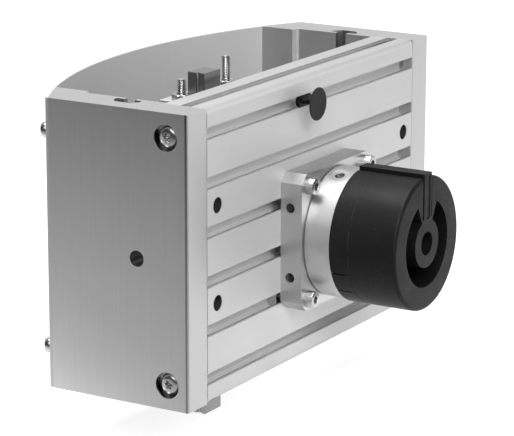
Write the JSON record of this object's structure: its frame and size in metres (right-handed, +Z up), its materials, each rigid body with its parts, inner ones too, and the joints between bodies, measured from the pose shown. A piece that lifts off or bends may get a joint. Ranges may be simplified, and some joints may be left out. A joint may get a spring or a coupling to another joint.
{
  "type": "pick and place handling module",
  "caption": "Slotted housing with a rotary drive in front that swings a roller arm; behind it a cross slide and a vertical rail follow an inverted U path.",
  "frame": {"origin": "centre of the four through holes, on the front face of the base profile", "axes": "+X to the right along the profile, +Y back from the drive into the housing, +Z up along the vertical rail"},
  "size_m": [0.2, 0.1456, 0.1484],
  "materials": {
    "profile_aluminium": "natural satin anodised extrusion",
    "plate_aluminium": "brushed and clear anodised plate",
    "cover_aluminium": "bent clear anodised sheet",
    "drive_aluminium": "machined and clear anodised",
    "inner_aluminium": "milled and clear anodised",
    "rail_steel": "ground and hardened rail steel",
    "carriage_steel": "ground steel",
    "ground_steel": "ground steel",
    "bright_screws": "bright zinc plated steel",
    "black_plastic": "moulded black plastic",
    "pointer_plastic": "moulded black plastic, a little smoother",
    "cap_plastic": "moulded dark plastic",
    "vane_plastic": "moulded sealing plastic",
    "bush_bronze": "sintered bronze",
    "buffer_rubber": "soft black rubber"
  },
  "bodies": {
    "frame": {"base_profile": "profile_aluminium", "beam_bracket_left": "inner_aluminium", "beam_bracket_right": "inner_aluminium", "beam_screws": "bright_screws", "cover_screws": "bright_screws", "drive_body": "drive_aluminium", "drive_cylinder": "drive_aluminium", "drive_screws": "bright_screws", "drive_slot_nuts": "bright_screws", "end_plate_left": "plate_aluminium", "end_plate_right": "plate_aluminium", "end_plate_screws": "bright_screws", "front_bush": "bush_bronze", "guide_beam": "inner_aluminium", "guide_screws": "bright_screws", "link_plate": "inner_aluminium", "link_screws": "bright_screws", "lower_guide_rail": "rail_steel", "rear_bush": "bush_bronze", "rear_cover": "cover_aluminium", "slot_nuts": "bright_screws", "slot_plug": "black_plastic", "slot_screws": "bright_screws", "stator": "vane_plastic", "upper_guide_rail": "rail_steel", "x_stop_buffers": "buffer_rubber", "x_stop_nuts": "bright_screws", "x_stop_screws": "bright_screws", "z_stop_left": "inner_aluminium", "z_stop_right": "inner_aluminium"},
    "rotor": {"hub": "black_plastic", "hub_pointer": "pointer_plastic", "shaft": "ground_steel", "vane": "vane_plastic", "swivel_arm": "ground_steel", "arm_screw": "bright_screws"},
    "cross_slide": {"cross_plate": "inner_aluminium", "cross_screws": "bright_screws", "upper_carriage": "carriage_steel", "lower_carriage": "carriage_steel", "guide_carriage_caps": "cap_plastic", "vertical_carriage": "carriage_steel", "vertical_carriage_caps": "cap_plastic"},
    "z_slide": {"vertical_rail": "rail_steel", "stop_holder": "inner_aluminium", "holder_screw": "bright_screws", "stop_stud_left": "bright_screws", "stop_stud_right": "bright_screws", "stop_nuts": "bright_screws", "roller_pin": "ground_steel"},
    "cam_roller": {"cam_roller": "ground_steel"}
  },
  "joints": [
    {"name": "hub_turn", "type": "hinge", "parent": "frame", "child": "rotor", "pos_m": [0, 0, -0.006], "axis": [0, 1, 0], "range_deg": [0, 224.83]},
    {"name": "cross_travel", "type": "slide", "parent": "frame", "child": "cross_slide", "axis": [1, 0, 0], "range_m": [0, 0.08]},
    {"name": "lift", "type": "slide", "parent": "cross_slide", "child": "z_slide", "axis": [0, 0, 1], "range_m": [0, 0.04]},
    {"name": "roller_spin", "type": "hinge", "parent": "z_slide", "child": "cam_roller", "pos_m": [-0.04, 0.0235, -0.0225], "axis": [0, 1, 0], "continuous": true}
  ],
  "couplings": [
    {"joint": "cross_travel", "follows": "hub_turn", "m_per_rad": 0.020387}
  ]
}
